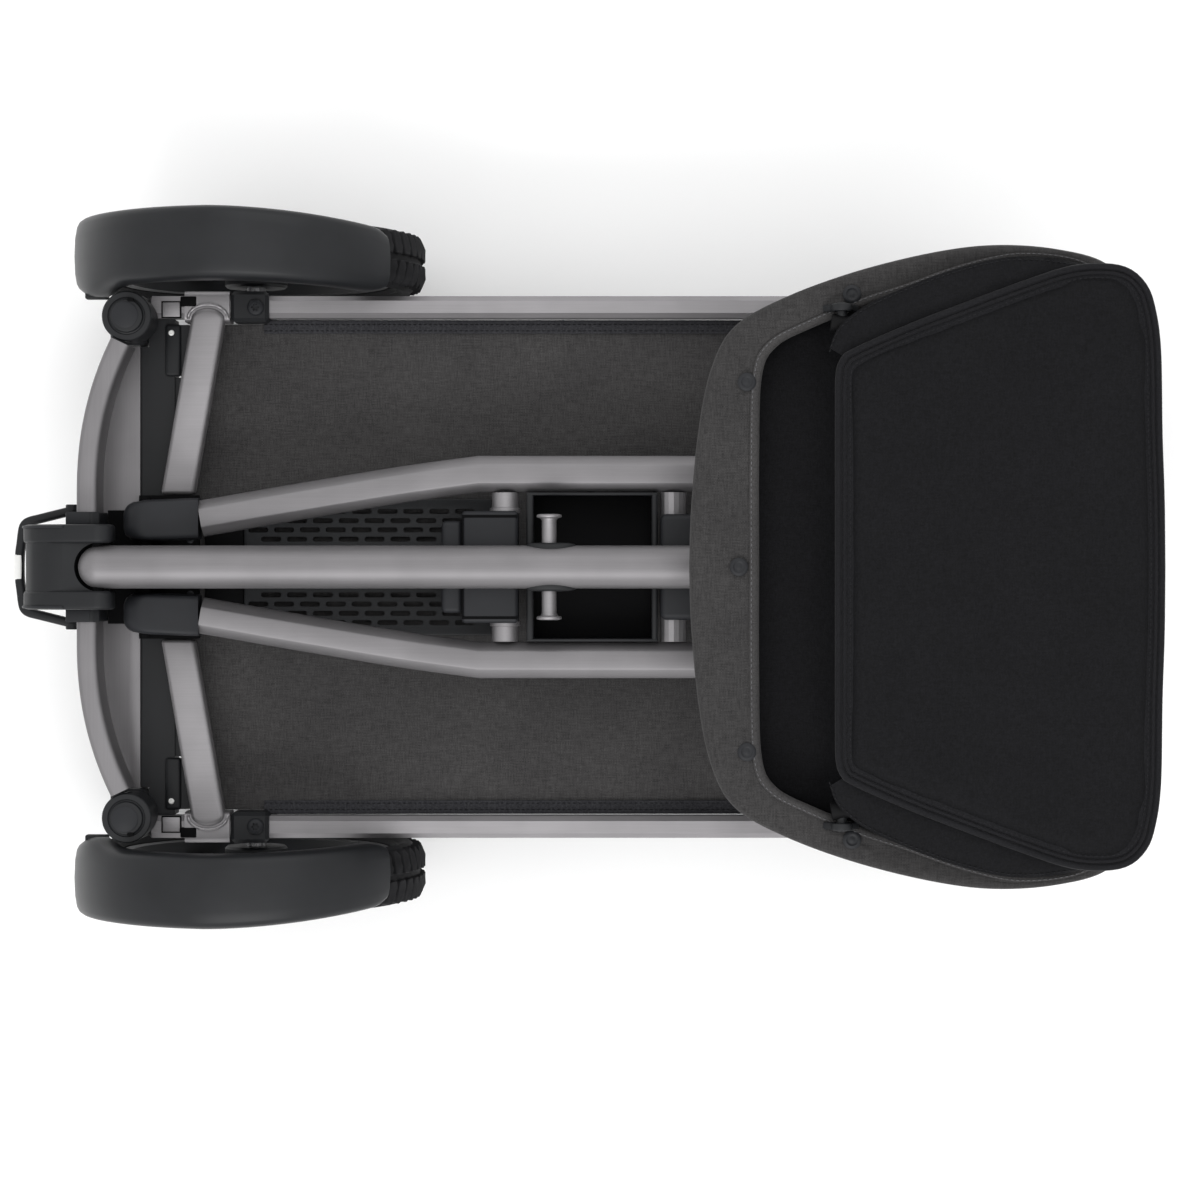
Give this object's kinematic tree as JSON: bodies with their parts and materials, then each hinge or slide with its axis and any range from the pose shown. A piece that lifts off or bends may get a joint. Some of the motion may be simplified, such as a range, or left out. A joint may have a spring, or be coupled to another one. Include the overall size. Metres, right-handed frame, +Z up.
{
  "type": "pet stroller",
  "caption": "Folding pet stroller stored flat on its four wheels: two bowed arms and a centre tube lift a soft cabin with a swing-up handle.",
  "frame": {"origin": "on the floor under the middle of the folded stroller's outline", "axes": "+X forward from the rear wheels to the front casters, +Y left, +Z up"},
  "size_m": [0.904, 0.57, 0.3778],
  "materials": {
    "frame_aluminium": "satin grey anodised",
    "black_plastic": "moulded matte black",
    "dark_plastic": "moulded dark grey",
    "steel_pin": "turned steel",
    "tyre_rubber": "matte rubber",
    "melange_fabric": "grey melange weave",
    "black_lining": "black woven nylon",
    "white_plastic": "smooth white",
    "grip_foam": "soft foam"
  },
  "bodies": {
    "chassis": {"arm_pivot_pin": "steel_pin", "axle_bracket_l": "black_plastic", "axle_bracket_r": "black_plastic", "caster_socket_l": "black_plastic", "caster_socket_r": "black_plastic", "centre_block": "black_plastic", "corner_housing_l": "black_plastic", "corner_housing_r": "black_plastic", "fabric_deck": "melange_fabric", "front_cross_tube": "frame_aluminium", "mudguard_l": "black_plastic", "mudguard_r": "black_plastic", "pivot_bracket": "black_plastic", "rear_axle_l": "steel_pin", "rear_axle_r": "steel_pin", "rear_bar": "frame_aluminium", "rear_cross_beam": "black_plastic", "rear_plate": "frame_aluminium", "side_rail_l": "frame_aluminium", "side_rail_r": "frame_aluminium", "slotted_plate": "black_plastic", "strut_l": "frame_aluminium", "strut_r": "frame_aluminium", "tube_pivot_pin": "steel_pin"},
    "rear_wheel_l": {"rear_tyre_l": "tyre_rubber", "rear_rim_l": "black_plastic"},
    "rear_wheel_r": {"rear_tyre_r": "tyre_rubber", "rear_rim_r": "black_plastic"},
    "caster_l": {"caster_fork_l": "black_plastic"},
    "caster_r": {"caster_fork_r": "black_plastic"},
    "front_wheel_l": {"front_wheel_l": "tyre_rubber"},
    "front_wheel_r": {"front_wheel_r": "tyre_rubber"},
    "pedal": {"brake_pedal": "black_plastic", "pedal_insert": "white_plastic"},
    "arms": {"lift_arm_l": "frame_aluminium", "lift_arm_r": "frame_aluminium", "arm_knuckle_l": "black_plastic", "arm_knuckle_r": "black_plastic", "latch_box": "dark_plastic", "front_box": "dark_plastic", "cross_tube_rear": "frame_aluminium", "cross_tube_front": "frame_aluminium", "pocket_tray": "black_plastic"},
    "lift_tube": {"lift_tube": "frame_aluminium", "pin_grommet_l": "black_plastic", "pin_grommet_r": "black_plastic", "cross_pin": "frame_aluminium"},
    "cabin_base": {"cabin_floor": "black_plastic", "cabin_wall": "melange_fabric", "floor_pad": "black_lining", "cabin_pivot_pin": "steel_pin", "tube_front_pin": "steel_pin"},
    "cabin_rim": {"cabin_rim": "melange_fabric", "handle_lug_l": "black_plastic", "handle_lug_r": "black_plastic"},
    "handle": {"handle_bow": "frame_aluminium", "handle_grip": "grip_foam", "padded_panel": "black_lining", "hood_fabric": "black_lining"},
    "hood_bow": {"hood_bow": "black_plastic"}
  },
  "joints": [
    {"name": "rear_wheel_l_roll", "type": "hinge", "parent": "chassis", "child": "rear_wheel_l", "pos_m": [-0.264, 0.251, 0.14], "axis": [0, 1, 0], "continuous": true},
    {"name": "caster_l_swivel", "type": "hinge", "parent": "chassis", "child": "caster_l", "pos_m": [0.351, 0.202, 0.16], "axis": [0, 0, 1], "continuous": true},
    {"name": "front_wheel_l_roll", "type": "hinge", "parent": "caster_l", "child": "front_wheel_l", "pos_m": [0.316, 0.202, 0.075], "axis": [0, 1, 0], "continuous": true},
    {"name": "rear_wheel_r_roll", "type": "hinge", "parent": "chassis", "child": "rear_wheel_r", "pos_m": [-0.264, -0.251, 0.14], "axis": [0, 1, 0], "continuous": true},
    {"name": "caster_r_swivel", "type": "hinge", "parent": "chassis", "child": "caster_r", "pos_m": [0.351, -0.202, 0.16], "axis": [0, 0, 1], "continuous": true},
    {"name": "front_wheel_r_roll", "type": "hinge", "parent": "caster_r", "child": "front_wheel_r", "pos_m": [0.316, -0.202, 0.075], "axis": [0, 1, 0], "continuous": true},
    {"name": "brake_press", "type": "hinge", "parent": "chassis", "child": "pedal", "pos_m": [-0.406, 0, 0.201], "axis": [0, -1, 0], "range_deg": [0, 12]},
    {"name": "cabin_lift", "type": "hinge", "parent": "chassis", "child": "arms", "pos_m": [-0.344, 0, 0.225], "axis": [0, -1, 0], "range_deg": [0, 40]},
    {"name": "tube_lift", "type": "hinge", "parent": "chassis", "child": "lift_tube", "pos_m": [-0.376, 0, 0.262], "axis": [0, -1, 0], "range_deg": [0, 40]},
    {"name": "cabin_level", "type": "hinge", "parent": "arms", "child": "cabin_base", "pos_m": [0.216, 0, 0.225], "axis": [0, -1, 0], "range_deg": [-40, 0]},
    {"name": "rim_rise", "type": "slide", "parent": "cabin_base", "child": "cabin_rim", "axis": [0, 0, 1], "range_m": [0, 0.16], "deforming": ["cabin_wall"]},
    {"name": "handle_swing", "type": "hinge", "parent": "cabin_rim", "child": "handle", "pos_m": [0.205, 0, 0.355], "axis": [0, -1, 0], "range_deg": [0, 115]},
    {"name": "hood_open", "type": "hinge", "parent": "handle", "child": "hood_bow", "pos_m": [0.205, 0, 0.355], "axis": [0, -1, 0], "range_deg": [-56, 0]}
  ],
  "couplings": [
    {"joint": "tube_lift", "follows": "cabin_lift", "ratio": 1},
    {"joint": "cabin_level", "follows": "cabin_lift", "ratio": -1},
    {"joint": "rim_rise", "follows": "cabin_lift", "m_per_rad": 0.229},
    {"joint": "hood_open", "follows": "handle_swing", "ratio": -0.48}
  ]
}
